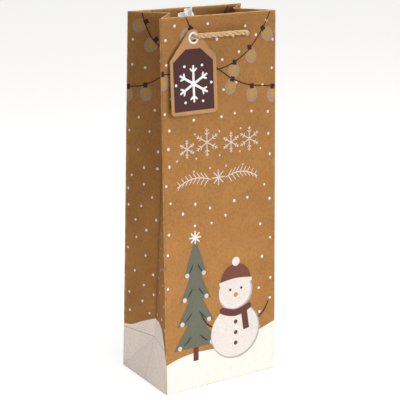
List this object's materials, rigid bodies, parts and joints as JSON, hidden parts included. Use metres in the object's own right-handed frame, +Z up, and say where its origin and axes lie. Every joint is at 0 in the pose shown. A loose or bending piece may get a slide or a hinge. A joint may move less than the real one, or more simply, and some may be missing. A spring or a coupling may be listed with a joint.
{
  "type": "wine gift bag",
  "caption": "Tall printed kraft-paper bag for one wine bottle, with folded side gussets, twisted rope handles, a hanging gift tag and tissue inside.",
  "frame": {"origin": "middle of the base, on the surface the bag stands on", "axes": "+Z up, -Y out of the front wall, +X to the right seen from the front"},
  "size_m": [0.127, 0.086, 0.3609],
  "materials": {
    "kraft_paper": "printed kraft, uncoated",
    "grey_card": "plain",
    "twisted_rope": "twisted paper-fibre cord",
    "tag_card": "printed, uncoated",
    "tissue": "thin translucent white"
  },
  "bodies": {
    "base": {"left_gusset_front": "kraft_paper", "left_gusset_back": "kraft_paper", "right_gusset_front": "kraft_paper", "right_gusset_back": "kraft_paper", "bottom_flap_front": "kraft_paper", "bottom_flap_back": "kraft_paper", "bottom_tuck_left": "kraft_paper", "bottom_tuck_right": "kraft_paper", "base_board": "grey_card"},
    "front_wall": {"front_panel": "kraft_paper", "front_stiffener": "grey_card", "front_rope": "twisted_rope", "front_knot_a": "twisted_rope", "front_knot_b": "twisted_rope"},
    "back_wall": {"back_panel": "kraft_paper", "back_stiffener": "grey_card", "back_rope": "twisted_rope", "back_knot_a": "twisted_rope", "back_knot_b": "twisted_rope", "side_seam_tab": "kraft_paper"},
    "tag": {"gift_tag": "tag_card"},
    "tissue": {"tissue_strip": "tissue"}
  },
  "joints": [
    {"name": "front_wall_fold", "type": "hinge", "parent": "base", "child": "front_wall", "pos_m": [0, -0.043, 0], "axis": [-1, 0, 0], "range_deg": [-2.2, 3.4], "stiffness_Nm_per_rad": 0.5, "deforming": ["left_gusset_front", "right_gusset_front", "tissue_strip"]},
    {"name": "back_wall_fold", "type": "hinge", "parent": "base", "child": "back_wall", "pos_m": [0, 0.043, 0], "axis": [1, 0, 0], "range_deg": [-2.2, 3.4], "stiffness_Nm_per_rad": 0.5, "deforming": ["left_gusset_back", "right_gusset_back"]},
    {"name": "tag_lift", "type": "hinge", "parent": "front_wall", "child": "tag", "pos_m": [-0.0299, -0.03062, 0.34778], "axis": [-1, 0, 0], "range_deg": [0, 35], "deforming": ["front_rope"]},
    {"name": "tissue_lift", "type": "slide", "parent": "base", "child": "tissue", "axis": [0, -0.0389, 0.9992], "range_m": [0, 0.15]}
  ]
}
